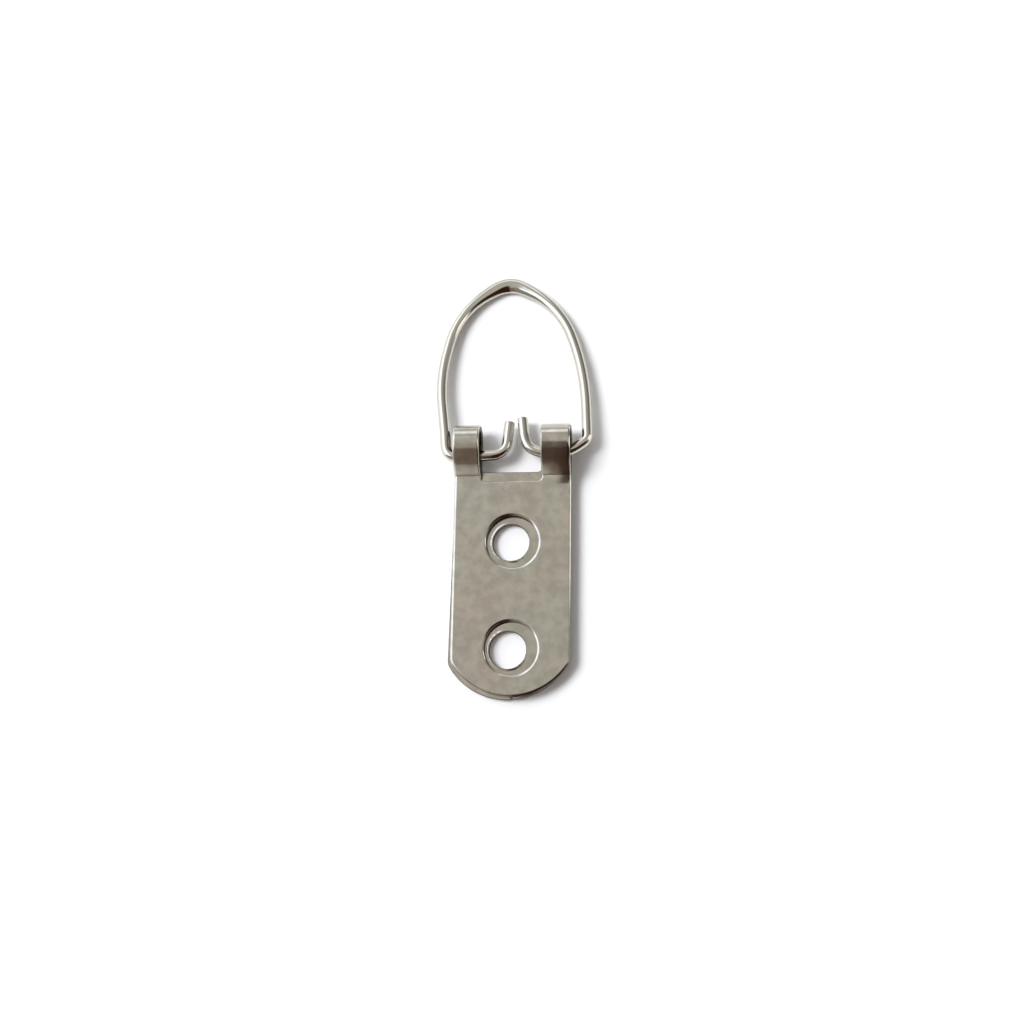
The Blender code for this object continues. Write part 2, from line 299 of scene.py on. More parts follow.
# White backdrop above the table's far edge, for mirror and transmission rays: its top and its soft
# rim, as the height of a direction on a sphere of radius 1
BACKDROP_TOP = 0.10
BACKDROP_RIM = 0.06

# White card that stands on the table close to the object, at its right, and shows only in metal
NEAR_CARD_X = 0.07
NEAR_CARD_SPAN = (0.010, 0.038)
NEAR_CARD_HEIGHT = 0.075
NEAR_CARD_GLOW = 1.5


class StripPath:
    """Side view of the strip's middle surface, from the front leaf over the fold to the rear leaf."""

    def __init__(self):
        self.pieces = []
        self.reach = 0.0
        self.place = Vector((0.0, SHEET + LEAF_GAP + SHEET / 2))
        self.heading = 0.0

    def add(self, length, turn=0.0):
        """Add a straight piece, or an arc that turns by the given angle over its length."""
        start = self.reach
        self.pieces.append((start, length, turn, self.place.copy(), self.heading))
        self.place, self.heading = self.walk(self.pieces[-1], length)
        self.reach = start + length

    def walk(self, piece, along):
        """Return the point and heading at a distance along one piece."""
        _, length, turn, place, heading = piece
        if turn == 0.0:
            return place + Vector((math.cos(heading), math.sin(heading))) * along, heading
        radius = length / turn
        after = heading + turn * along / length
        step = Vector((math.sin(after) - math.sin(heading), math.cos(heading) - math.cos(after)))
        return place + step * radius, after

    def exact(self, along):
        """Return the point at a place along the strip, with the bends as plain arcs."""
        piece = self.pieces[0]
        for candidate in self.pieces:
            if candidate[0] <= along:
                piece = candidate
        return self.walk(piece, along - piece[0])[0]

    def eased(self, along):
        """Return the point and heading where each bend starts and ends softly."""
        offsets = [BEND_EASE * (i / (EASE_SAMPLES - 1) - 0.5) for i in range(EASE_SAMPLES)]
        spots = [self.exact(along + offset) for offset in offsets]
        place = sum(spots, Vector((0.0, 0.0))) / EASE_SAMPLES
        run = spots[-1] - spots[0]
        return place, run.normalized()

    def cut_lines(self):
        """Return the places where the mesh is cut across the strip."""
        lines = []
        for start, length, turn, _, _ in self.pieces:
            steps = math.ceil(max(abs(turn) / BEND_STEP, length / GRID_STEP))
            lines += [start + length * i / steps for i in range(steps)]
        lines += [front_tip() * i / LOWER_CUTS for i in range(1, LOWER_CUTS)]
        return lines


def hinge_place():
    """Return the hinge's point and direction, as packed."""
    joint = frame["joints"][0]
    return Vector(joint["pos_m"]), Vector(joint["axis"])


def front_tip():
    """Place of the front leaf's tip, below the lower hole."""
    return -HOLE_SPACING / 2 - HOLE_TO_TIP


def fold_strip():
    """Lay out the strip's bends in the CAD model's width and height, with a domed ramp."""
    low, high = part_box("hanger_strap")
    hinge, axis = hinge_place()
    loop_height = high.z - low.z
    leaf_middle = SHEET + LEAF_GAP + SHEET / 2
    crest_middle = loop_height - SHEET / 2
    fold_radius = (loop_height - SHEET) / 2

    # Corners of the CAD model's plain ramp, which the fold and the window's lower edge follow
    lowest_wire = hinge.y - high.x * axis.y / axis.x
    stand_off = WIRE / 2 + RAMP_CLEARANCE + SHEET / 2
    ramp_y = lowest_wire - stand_off * math.sin(RAMP_ANGLE)
    ramp_z = hinge.z + stand_off * math.cos(RAMP_ANGLE)
    low_corner = ramp_y - (ramp_z - leaf_middle) / math.tan(RAMP_ANGLE)
    high_corner = ramp_y + (crest_middle - ramp_z) / math.tan(RAMP_ANGLE)
    low_tangent = RAMP_LOW_RADIUS * math.tan(RAMP_ANGLE / 2)
    high_tangent = RAMP_HIGH_RADIUS * math.tan(RAMP_ANGLE / 2)
    fold_centre = high_corner + high_tangent + CREST

    # Fine ramp between the same heights: the foot's bend, a slight arc and then the dome
    foot_rise = FOOT_RADIUS * (1 - math.cos(FOOT_ANGLE))
    dome_rise = DOME_RADIUS * (1 - math.cos(DOME_ANGLE))
    ramp_rise = crest_middle - leaf_middle - foot_rise - dome_rise
    ramp_radius = ramp_rise / (math.cos(DOME_ANGLE) - math.cos(FOOT_ANGLE))
    ramp_turn = FOOT_ANGLE - DOME_ANGLE
    ramp_run = ramp_radius * (math.sin(FOOT_ANGLE) - math.sin(DOME_ANGLE))
    run = FOOT_RADIUS * math.sin(FOOT_ANGLE) + ramp_run + DOME_RADIUS * math.sin(DOME_ANGLE)

    path = StripPath()
    path.add(fold_centre - run)
    path.add(FOOT_RADIUS * FOOT_ANGLE, FOOT_ANGLE)
    path.add(ramp_radius * ramp_turn, -ramp_turn)
    path.add(DOME_RADIUS * DOME_ANGLE, -DOME_ANGLE)
    path.add(fold_radius * math.pi, -math.pi)
    path.half_width = high.x
    path.foot = fold_centre - run + FOOT_RADIUS * FOOT_ANGLE
    path.window_edge = low_corner - low_tangent - FRONT_WINDOW_MARGIN
    path.fold_centre = fold_centre
    path.rear_start = path.reach
    path.add(path.fold_centre - front_tip() + REAR_LEAF_EXCESS)
    return path


def rear_place(path, height):
    """Return the place along the strip of a height on the rear leaf."""
    return path.rear_start + path.fold_centre - height


def ease_corner(before, corner, after):
    """Return the points of a soft corner between two points."""
    points = []
    for i in range(EASE_STEPS + 1):
        share = i / EASE_STEPS
        points.append(before.lerp(corner, share).lerp(corner.lerp(after, share), share))
    return points


def end_arc(half, tip, direction, mark):
    """Return the rounded end of a leaf, from side to side, with eased corners and fine at a mark."""
    radius = (half * half + END_RISE * END_RISE) / (2 * END_RISE)
    sweep = math.asin(half / radius)
    reach = sweep - SIDE_EASE / radius

    def spot(angle):
        return Vector((radius * math.sin(angle), tip + direction * radius * (1 - math.cos(angle))))

    ease = Vector((0.0, direction * SIDE_EASE))
    start, stop = spot(-direction * sweep), spot(direction * sweep)
    points = ease_corner(start + ease, start, spot(-direction * reach))
    angles = [reach * (2 * i / END_STEPS - 1) for i in range(1, END_STEPS)]
    if mark is not None:
        angles = [angle for angle in angles if abs(radius * math.sin(angle) - mark) > MARK_CLEAR]
        for i in range(-MARK_STEPS, MARK_STEPS + 1):
            angles.append(math.asin((mark + MARK_STEP * i) / radius))
    for angle in sorted(angles, reverse=direction < 0):
        points.append(spot(angle))
    return points + ease_corner(spot(direction * reach), stop, stop + ease)


def hole_loop(centre_x, centre_y, radius):
    """Return the points of a round hole, with the sheet on the left of the way round."""
    points = []
    for i in range(HOLE_SIDES):
        angle = -2 * math.pi * i / HOLE_SIDES
        points.append(Vector((centre_x + radius * math.cos(angle), centre_y + radius * math.sin(angle))))
    return points


def window_loop(low, high):
    """Return the window's outline, with the sheet on the left of the way round."""
    points = []
    reach_x = WINDOW_WIDTH / 2 - WINDOW_CORNER
    middle = (low + high) / 2
    reach_y = (high - low) / 2 - WINDOW_CORNER
    for side_x, side_y, start in ((1, 1, 90), (1, -1, 0), (-1, -1, -90), (-1, 1, -180)):
        for i in range(WINDOW_STEPS + 1):
            angle = math.radians(start - 90 * i / WINDOW_STEPS)
            x = WINDOW_SHIFT + side_x * reach_x + WINDOW_CORNER * math.cos(angle)
            y = middle + side_y * reach_y + WINDOW_CORNER * math.sin(angle)
            points.append(Vector((x, y)))
    return points


def inward_steps(points):
    """Return for each point of a loop the step that moves it one metre into the sheet."""
    steps = []
    for i, point in enumerate(points):
        arriving = (point - points[i - 1]).normalized()
        leaving = (points[(i + 1) % len(points)] - point).normalized()
        first = Vector((-arriving.y, arriving.x))
        second = Vector((-leaving.y, leaving.x))
        middle = (first + second).normalized()
        steps.append(middle / middle.dot(first))
    return steps


def edge_profile(roll, burr):
    """Return the punched edge from the outer face to the inner one: inset, level and how torn."""
    rows = [(roll + FLAT_RIM, SHEET, 0.0)]
    for i in range(ROLL_STEPS + 1):
        angle = ROLL_SWEEP * i / ROLL_STEPS
        inset = roll * (1 - math.sin(angle) / math.sin(ROLL_SWEEP))
        rows.append((inset, SHEET - ROLL_DEPTH * (1 - math.cos(angle)), 0.0))
    rows.append((0.0, TORN_LEVEL, 0.0))
    rows.append((0.0, TORN_LEVEL - FLAT_RIM, 1.0))
    rows.append((TORN_LEAN, CORNER_BREAK, 1.0))
    rows.append((TORN_LEAN + CORNER_BREAK - FLAT_RIM, -burr, 1.0))
    rows.append((TORN_LEAN + CORNER_BREAK, -burr, 0.0))
    rows.append((TORN_LEAN + CORNER_BREAK + BURR_WIDTH, 0.0, 0.0))
    rows.append((TORN_LEAN + CORNER_BREAK + BURR_WIDTH + FLAT_RIM, 0.0, 0.0))
    return rows


def cut_off_notch_and_shade(path, x, along, inset):
    """Return how strongly the cut-off mark, from 0 to 1, cuts a point of the rear leaf's tip; the same
    value paints the notch dark as painted shade.
    """
    if along < rear_place(path, front_tip() + SIDE_EASE):
        return 0.0
    aside = x - (along - path.rear_start) * math.tan(LEAF_SKEW) - MARK_PLACE
    return max(1 - inset / ROLL_WIDTH, 0.0) * math.exp(-(aside / MARK_WIDTH) ** 2)


def flat_sheet(path):
    """Return the unfolded strip, with its punched edges, as a bmesh."""
    rear_tip = rear_place(path, front_tip() - REAR_LEAF_EXCESS)
    rear_mark = MARK_PLACE + (rear_tip - path.rear_start) * math.tan(LEAF_SKEW)
    outline = end_arc(path.half_width, front_tip(), 1, None)
    outline += end_arc(path.half_width, rear_tip, -1, rear_mark)
    loops = [(outline, ROLL_WIDTH, 0.0)]
    for side in (-1, 1):
        height = side * HOLE_SPACING / 2
        wide = hole_loop(HEAD_HOLE_SHIFT, height + HEAD_HOLE_RISE, HEAD_HOLE / 2)
        small_place = rear_place(path, height + SHANK_HOLE_RISES[side])
        small = hole_loop(SHANK_HOLE_SHIFT, small_place, SHANK_HOLE / 2)
        loops += [(wide, ROLL_WIDTH, 0.0), (small, ROLL_WIDTH, BURR)]
    hinge, _ = hinge_place()
    window = window_loop(path.window_edge, rear_place(path, hinge.y - REAR_WINDOW_DROP))
    loops.append((window, WINDOW_ROLL_WIDTH, 0.0))

    bm = bmesh.new()
    torn = bm.verts.layers.float.new("torn")
    outer_rim, inner_rim = [], []
    for points, roll, burr in loops:
        steps = inward_steps(points)
        rows = []
        for inset, level, tear in edge_profile(roll, burr):
            row = []
            for point, step in zip(points, steps):
                place = point + step * inset
                mark = cut_off_notch_and_shade(path, place.x, place.y, inset)
                vert = bm.verts.new((place.x, place.y - MARK_DEPTH * mark, level))
                # The notch takes the torn walls' dark colour, as painted shade in it
                vert[torn] = max(tear, mark)
                row.append(vert)
            rows.append(row)
        for upper, lower in zip(rows, rows[1:]):
            for i in range(len(points)):
                bm.faces.new((upper[i - 1], upper[i], lower[i], lower[i - 1]))
        outer_rim += rim_edges(bm, rows[0])
        inner_rim += rim_edges(bm, rows[-1])
    for edges, normal in ((outer_rim, (0, 0, 1)), (inner_rim, (0, 0, -1))):
        filled = bmesh.ops.triangle_fill(bm, use_beauty=False, use_dissolve=False, edges=edges,
                                         normal=normal)
        for item in filled["geom"]:
            if isinstance(item, bmesh.types.BMFace):
                item.material_index = FLAT_MARK
    return bm


def rim_edges(bm, row):
    """Return the edges of a closed row of vertices."""
    return [bm.edges.get((row[i - 1], row[i])) for i in range(len(row))]


def cut_grid(bm, path):
    """Cut the sheet along a grid and along the bends, and clean the flat faces up to that grid."""
    columns = round(2 * path.half_width / GRID_STEP)
    across = [path.half_width * (2 * (i + 0.5) / columns - 1) for i in range(columns)]
    along = path.cut_lines()
    for lines, normal in ((along, Vector((0, 1, 0))), (across, Vector((1, 0, 0)))):
        for line in lines:
            parts = bm.verts[:] + bm.edges[:] + bm.faces[:]
            bmesh.ops.bisect_plane(bm, geom=parts, dist=SAME_PLACE, plane_co=normal * line,
                                   plane_no=normal)

    def on_grid(edge):
        a, b = (vert.co for vert in edge.verts)
        return abs(a.x - b.x) < SAME_PLACE or abs(a.y - b.y) < SAME_PLACE

    spare = [edge for edge in bm.edges if len(edge.link_faces) == 2 and not on_grid(edge)
             and all(face.material_index == FLAT_MARK for face in edge.link_faces)]
    bmesh.ops.dissolve_edges(bm, edges=spare, use_verts=True)
    for face in bm.faces:
        face.material_index = 0


def ear_lift(path, x, along):
    """Return how far the right ear's foot is lifted, which grows towards its outer side."""
    inner = WINDOW_SHIFT + WINDOW_WIDTH / 2
    middle = (inner + path.half_width) / 2
    side = (x - middle) / (path.half_width - middle)
    low, high = EAR_LIFT_SHARES
    share = min(max((side - low) / (high - low), 0.0), 1.0)
    above = along - path.foot + EAR_LIFT_DROP
    fade = math.exp(-(above / EAR_LIFT_REACHES[above > 0]) ** 2)
    return EAR_LIFT * share * share * (3 - 2 * share) * fade


def fold_sheet(bm, path):
    """Move every point of the flat sheet to its place on the folded strap."""
    folded = {}
    for vert in bm.verts:
        x, along, level = vert.co
        key = round(along / SAME_PLACE)
        if key not in folded:
            folded[key] = path.eased(along)
        (y, z), run = folded[key]
        wave = noise.noise(Vector((x, along, 0.0)) / WAVE_SIZE)
        offset = level - SHEET / 2 + WAVE_HEIGHT * (wave - 1) + ear_lift(path, x, along)
        past_fold = max(along - path.rear_start, 0.0)
        x -= past_fold * math.tan(LEAF_SKEW)
        vert.co = (x, y - offset * run.y, z + offset * run.x)


def make_object(name, bm, material):
    """Turn a bmesh into an object of one material."""
    mesh = bpy.data.meshes.new(name)
    bm.to_mesh(mesh)
    bm.free()
    mesh.materials.append(material)
    made = bpy.data.objects.new(name, mesh)
    bpy.context.collection.objects.link(made)
    return made


def make_piece(name, bm, material):
    """Turn a bmesh into a piece that is shaded smooth up to its sharp edges."""
    bmesh.ops.recalc_face_normals(bm, faces=bm.faces[:])
    piece = make_object(name, bm, material)
    piece.data.shade_smooth()
    piece.data.set_sharp_from_angle(angle=SHARP_ANGLE)
    return piece


def build_strap():
    """Make the folded strap, which stands for the CAD strap."""
    path = fold_strip()
    bm = flat_sheet(path)
    cut_grid(bm, path)
    fold_sheet(bm, path)
    strap = make_piece("plated_strap", bm, strap_nickel())
    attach(strap, "strap")
    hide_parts("hanger_strap")


def ring_corners(half_width):
    """Return the corners of the bent wire from the left tip to the right one, with their radii."""
    half = half_width + LEG_GAP + WIRE / 2
    left_tip = HOOK_SHIFT - (WIRE + HOOK_GAP) / 2
    right_tip = HOOK_SHIFT + (WIRE + HOOK_GAP) / 2

    def corner(side, shares, radius):
        return (RING_SHIFT + side * half * shares[0], RING_HEIGHT * shares[1], radius)

    return [
        (left_tip, LEFT_HOOK_HEIGHT, 0.0),
        (left_tip - LEFT_HOOK_LEAN, 0.0, LEFT_HOOK_RADIUS),
        (RING_SHIFT - half * LEFT_CORNER_SHARE, 0.0, LEFT_CORNER_RADIUS),
        corner(-1, LEFT_LEG_SHARES, LEFT_LEG_RADIUS),
        corner(-1, LEFT_LOW_SHARES, LEFT_LOW_RADIUS),
        corner(-1, LEFT_HIGH_SHARES, LEFT_HIGH_RADIUS),
        (RING_SHIFT, RING_HEIGHT, APEX_RADIUS),
        corner(1, RIGHT_HIGH_SHARES, RIGHT_HIGH_RADIUS),
        corner(1, RIGHT_LOW_SHARES, RIGHT_LOW_RADIUS),
        (RING_SHIFT + half, RIGHT_CORNER_HEIGHT, RIGHT_CORNER_RADIUS),
        (half_width, 0.0, RIGHT_EAR_RADIUS),
        (right_tip + RIGHT_HOOK_LEAN, 0.0, RIGHT_HOOK_RADIUS),
        (right_tip, RIGHT_HOOK_HEIGHT, 0.0),
    ]


def round_corners(corners):
    """Return points along a path whose corners are rounded, each to its own radius."""
    places = [Vector(corner[:2]) for corner in corners]
    turns = [(b - a).angle(c - b) for a, b, c in zip(places, places[1:], places[2:])]
    tangents = [0.0]
    for corner, turn in zip(corners[1:], turns):
        tangents.append(corner[2] * math.tan(turn / 2))
    tangents.append(0.0)
    room = []
    for i in range(len(places) - 1):
        side = (places[i + 1] - places[i]).length
        room.append(min(1.0, side / (tangents[i] + tangents[i + 1])))

    points = [places[0]]
    for i, turn in enumerate(turns, start=1):
        back = (places[i - 1] - places[i]).normalized()
        ahead = (places[i + 1] - places[i]).normalized()
        tangent = tangents[i] * min(room[i - 1], room[i])
        radius = tangent / math.tan(turn / 2)
        centre = places[i] + (back + ahead).normalized() * radius / math.cos(turn / 2)
        arm = places[i] + back * tangent - centre
        side = 1 if back.cross(ahead) < 0 else -1
        steps = math.ceil(turn / ARC_STEP)
        for k in range(steps + 1):
            cosine = math.cos(turn * k / steps)
            sine = side * math.sin(turn * k / steps)
            turned = Vector((arm.x * cosine - arm.y * sine, arm.x * sine + arm.y * cosine))
            points.append(centre + turned)
    points.append(places[-1])
    return points


class WirePath:
    """The wire's centre line, read by its length."""

    def __init__(self, points):
        self.points = points
        self.lengths = [0.0]
        for before, after in zip(points, points[1:]):
            self.lengths.append(self.lengths[-1] + (after - before).length)
        self.length = self.lengths[-1]

    def exact(self, along):
        """Return the point at a length along the corners' arcs."""
        low, high = 0, len(self.points) - 1
        while high - low > 1:
            middle = (low + high) // 2
            if self.lengths[middle] <= along:
                low = middle
            else:
                high = middle
        span = self.lengths[high] - self.lengths[low]
        return self.points[low].lerp(self.points[high], (along - self.lengths[low]) / span)

    def eased(self, along):
        """Return the point and heading, with each bend started and ended softly."""
        reach = max(min(PATH_EASE / 2, along, self.length - along), LEAST_EASE)
        spots = []
        for i in range(EASE_SAMPLES):
            spot = along + reach * (2 * i / (EASE_SAMPLES - 1) - 1)
            spots.append(self.exact(min(max(spot, 0.0), self.length)))
        place = sum(spots, Vector((0.0, 0.0))) / EASE_SAMPLES
        return place, (spots[-1] - spots[0]).normalized()


def wire_section(press):
    """Return the outline of the wire, round or pressed flat, as pairs of shares of its radius."""
    fit = math.cos(math.pi / CAD_WIRE_SIDES)
    wide = WIRE / 2 * fit * (1 + SPREAD_SHARE * press)
    thick = WIRE / 2 * fit * (1 - THINNING_SHARE * press)
    power = 2 / (2 + PRESS_SQUARENESS * press)
    outline = []
    for i in range(WIRE_SIDES):
        angle = 2 * math.pi * i / WIRE_SIDES
        cosine, sine = math.cos(angle), math.sin(angle)
        across = wide * math.copysign(abs(cosine) ** power, cosine)
        upward = thick * math.copysign(abs(sine) ** power, sine)
        twist = PRESS_TWIST * press
        outline.append((across * math.cos(twist) - upward * math.sin(twist),
                        across * math.sin(twist) + upward * math.cos(twist)))
    lift = -min(upward for _, upward in outline) - thick
    return [(across, upward + lift) for across, upward in outline]


def sweep_wire(path):
    """Return the ring's wire in its own plane, as a bmesh that knows how far along it each point is."""
    top = max(range(len(path.points)), key=lambda i: path.points[i].y)
    apex = path.lengths[top]
    stations = [(TIP_ROUND * (1 - math.cos(math.pi / 2 * i / TIP_ROUND_STEPS)),
                 TIP_ROUND * (1 - math.sin(math.pi / 2 * i / TIP_ROUND_STEPS)))
                for i in range(TIP_ROUND_STEPS + 1)]
    count = round((path.length - 2 * TIP_ROUND) / STATION_STEP)
    middle = [(TIP_ROUND + (path.length - 2 * TIP_ROUND) * i / count, 0.0) for i in range(1, count)]
    ends = [(path.length - along, shrink) for along, shrink in reversed(stations)]

    bm = bmesh.new()
    run = bm.verts.layers.float.new("along")
    turn = bm.verts.layers.float.new("around")
    rows = []
    for along, shrink in stations + middle + ends:
        place, heading = path.eased(along)
        sideways = Vector((heading.y, -heading.x))
        press = math.exp(-((along - apex) / SPREAD_REACH) ** 2)
        scale = 1 - shrink / (WIRE / 2)
        row = []
        for i, (wide, thick) in enumerate(wire_section(press)):
            flat = place + sideways * wide * scale
            vert = bm.verts.new((flat.x, flat.y, thick * scale))
            vert[run] = along
            vert[turn] = math.sin(2 * math.pi * i / WIRE_SIDES)
            row.append(vert)
        rows.append(row)
    for lower, upper in zip(rows, rows[1:]):
        for i in range(WIRE_SIDES):
            bm.faces.new((lower[i - 1], lower[i], upper[i], upper[i - 1]))
    bm.faces.new(rows[0])
    bm.faces.new(rows[-1])
    return bm


def droop(path):
    """Return the angle by which the ring leans back until its top lies on the table."""
    hinge, _ = hinge_place()
    thickness = WIRE / 2 * (1 - THINNING_SHARE)
    reach = math.hypot(max(point.y for point in path.points), thickness)
    return math.asin(hinge.z / reach) - math.atan2(thickness, reach)


def build_ring():
    """Make the bent ring, which stands for the CAD ring."""
    _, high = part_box("hanger_strap")
    hinge, axis = hinge_place()
    path = WirePath(round_corners(ring_corners(high.x)))
    ring = make_piece("plated_ring", sweep_wire(path), ring_nickel())
    skew = math.atan2(axis.y, axis.x)
    ring.data.transform(Matrix.Translation(hinge) @ Matrix.Rotation(skew, 4, "Z")
                        @ Matrix.Rotation(-droop(path), 4, "X"))
    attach(ring, "ring")
    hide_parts("d_ring")


class Nodes:
    """Short way to write a node tree."""

    def __init__(self, tree):
        self.tree = tree

    def add(self, kind, settings=None, **inputs):
        """Add a node. Inputs are values or sockets, named with _ for a space, or i and a number."""
        made = self.tree.nodes.new("ShaderNode" + kind)
        for key, value in (settings or {}).items():
            setattr(made, key, value)
        for key, value in inputs.items():
            socket = made.inputs[int(key[1:]) if key[1:].isdigit() else key.replace("_", " ")]
            if isinstance(value, bpy.types.NodeSocket):
                self.tree.links.new(value, socket)
            else:
                socket.default_value = value
        return made

    def math(self, operation, *values):
        """Return the result of a sum on values or sockets."""
        inputs = {f"i{i}": value for i, value in enumerate(values)}
        return self.add("Math", {"operation": operation}, **inputs).outputs[0]

    def spread(self, value, low, high, to_low=0.0, to_high=1.0):
        """Return a value mapped smoothly from one range to another."""
        made = self.add("MapRange", {"interpolation_type": "SMOOTHSTEP"}, Value=value, From_Min=low,
                        From_Max=high, To_Min=to_low, To_Max=to_high)
        return made.outputs["Result"]

    def mix(self, share, first, second):
        """Return a blend of two colours."""
        made = self.add("Mix", {"data_type": "RGBA"}, i0=share)
        for slot, value in zip(MIX_COLOUR_INPUTS, (first, second)):
            if isinstance(value, bpy.types.NodeSocket):
                self.tree.links.new(value, made.inputs[slot])
            else:
                made.inputs[slot].default_value = (*value, 1.0)
        return made.outputs[MIX_COLOUR_OUTPUT]

    def noise(self, vector, scale, detail):
        """Return a noise value from 0 to 1."""
        return self.add("TexNoise", Vector=vector, Scale=scale, Detail=detail).outputs[0]

    def bump(self, height, strength, distance, **below):
        """Return the surface direction that a height gives, on another one if Normal is given."""
        made = self.add("Bump", Height=height, Strength=strength, Distance=distance, **below)
        return made.outputs[0]

    def dot(self, first, second):
        """Return the dot product of two vectors."""
        made = self.add("VectorMath", {"operation": "DOT_PRODUCT"}, i0=first, i1=second)
        return made.outputs["Value"]


def bare_nodes(owner):
    """Return the nodes helper of a material or world, with its node tree emptied."""
    owner.use_nodes = True
    owner.node_tree.nodes.clear()
    return Nodes(owner.node_tree)


def new_metal(name):
    """Return a metal with its nodes helper and shader."""
    material = bpy.data.materials.new(name)
    material.use_nodes = True
    nodes = Nodes(material.node_tree)
    shader = material.node_tree.nodes["Principled BSDF"]
    shader.inputs["Metallic"].default_value = 1.0
    return material, nodes, shader


def dress(nodes, shader, tint, gloss, normal):
    """Give a metal its colour, its roughness and its surface direction."""
    for name, socket in (("Base Color", tint), ("Roughness", gloss), ("Normal", normal)):
        nodes.tree.links.new(socket, shader.inputs[name])


def strap_nickel():
    """Satin plate on rolled sheet: cloudy, faintly lined along the strip, and torn at the cut walls,
    whose dark colour is partly painted shade.
    """
    material, nodes, shader = new_metal("strap_nickel_look")
    place = nodes.add("TexCoord").outputs["Object"]
    torn = nodes.add("Attribute", {"attribute_name": "torn"}).outputs["Fac"]
    rolled = nodes.add("Mapping", Vector=place, Scale=ROLLED_STRETCH).outputs[0]
    sheared = nodes.add("Mapping", Vector=place, Scale=SHEARED_STRETCH).outputs[0]

    clouds = nodes.spread(nodes.noise(place, *STRAP_CLOUDS), *CLOUD_SPAN)
    specks = nodes.spread(nodes.noise(place, *STRAP_SPECKS), *SPECK_SPAN, 0.0, SPECK_SHARE)
    shear = nodes.noise(sheared, *WALL_TEARS)
    # Torn walls: their own duller tone, darkened further as painted shade
    shaded_wall = nodes.mix(nodes.spread(shear, *TEAR_SPAN), TORN_DARK_WITH_SHADE, TORN_PALE_WITH_SHADE)
    tint = nodes.mix(specks, nodes.mix(clouds, NICKEL, NICKEL_GREEN), TORN_DARK_WITH_SHADE)
    tint = nodes.mix(torn, tint, shaded_wall)

    gloss = nodes.spread(nodes.noise(place, *STRAP_GLOSS), *GLOSS_SPAN, *STRAP_ROUGHNESS)
    duller = nodes.math("MULTIPLY", torn, TORN_ROUGHNESS - STRAP_ROUGHNESS[1])
    gloss = nodes.math("ADD", gloss, duller)

    grain = nodes.bump(nodes.noise(place, *STRAP_GRAIN), *STRAP_GRAIN_BUMP)
    lines = nodes.bump(nodes.noise(rolled, *ROLLED_LINES), *ROLLED_BUMP, Normal=grain)
    strength, height = TEAR_BUMP
    tears = nodes.bump(shear, nodes.math("MULTIPLY", torn, strength), height, Normal=lines)
    dress(nodes, shader, tint, gloss, tears)
    return material


def ring_nickel():
    """Bright plate on drawn wire, with fine lines along it."""
    material, nodes, shader = new_metal("ring_nickel_look")
    place = nodes.add("TexCoord").outputs["Object"]
    along = nodes.add("Attribute", {"attribute_name": "along"}).outputs["Fac"]
    around = nodes.add("Attribute", {"attribute_name": "around"}).outputs["Fac"]
    drawn = nodes.add("CombineXYZ", X=nodes.math("MULTIPLY", along, DRAWN_ALONG),
                      Y=nodes.math("MULTIPLY", around, DRAWN_ACROSS)).outputs[0]

    clouds = nodes.spread(nodes.noise(place, *RING_CLOUDS), *CLOUD_SPAN)
    tint = nodes.mix(clouds, NICKEL, NICKEL_GREEN)
    gloss = nodes.spread(nodes.noise(drawn, *RING_GLOSS), *GLOSS_SPAN, *RING_ROUGHNESS)
    lines = nodes.bump(nodes.noise(drawn, *DRAWN_LINES), *DRAWN_BUMP)
    grain = nodes.bump(nodes.noise(place, *RING_GRAIN), *RING_GRAIN_BUMP, Normal=lines)
    dress(nodes, shader, tint, gloss, grain)
    return material


def soft_step(nodes, value, edge, rim):
    """Return a value's soft step from 0 to 1 across an edge."""
    return nodes.spread(value, edge - rim / 2, edge + rim / 2)


def level_direction(angle):
    """Return the level direction at an angle from +X towards +Y."""
    return Vector((math.cos(angle), math.sin(angle), 0.0))


def card(nodes, facing, below, middle, half, upper, lower, rim, colour):
    """Lay an upright card over the sky, between two sides of a sector and two tilts."""
    height = nodes.add("SeparateXYZ", Vector=facing).outputs[2]
    square = nodes.math("MULTIPLY", height, height)
    level = nodes.math("SQRT", nodes.math("SUBTRACT", OVER_ONE, square))
    ahead = nodes.dot(facing, level_direction(math.radians(middle)))
    side = nodes.math("ARCCOSINE", nodes.math("DIVIDE", ahead, level))
    tilt = nodes.math("ARCCOSINE", height)
    rim = math.radians(rim)
    inside = nodes.math("SUBTRACT", 1.0, soft_step(nodes, side, math.radians(half), rim))
    inside = nodes.math("MULTIPLY", inside, soft_step(nodes, tilt, math.radians(upper), rim))
    past = nodes.math("SUBTRACT", 1.0, soft_step(nodes, tilt, math.radians(lower), rim))
    return nodes.mix(nodes.math("MULTIPLY", inside, past), below, colour)


def front(nodes, facing, below):
    """Lay the room's dark front over the sky."""
    ahead = nodes.dot(facing, level_direction(FRONT_BACK_SIDE))
    across = nodes.add("SeparateXYZ", Vector=facing).outputs[0]
    inside = nodes.math("MULTIPLY", soft_step(nodes, across, FRONT_LEFT_EDGE, FRONT_LEFT_RIM),
                        soft_step(nodes, ahead, FRONT_BACK_EDGE, FRONT_BACK_RIM))
    return nodes.mix(inside, below, FRONT_DARK)


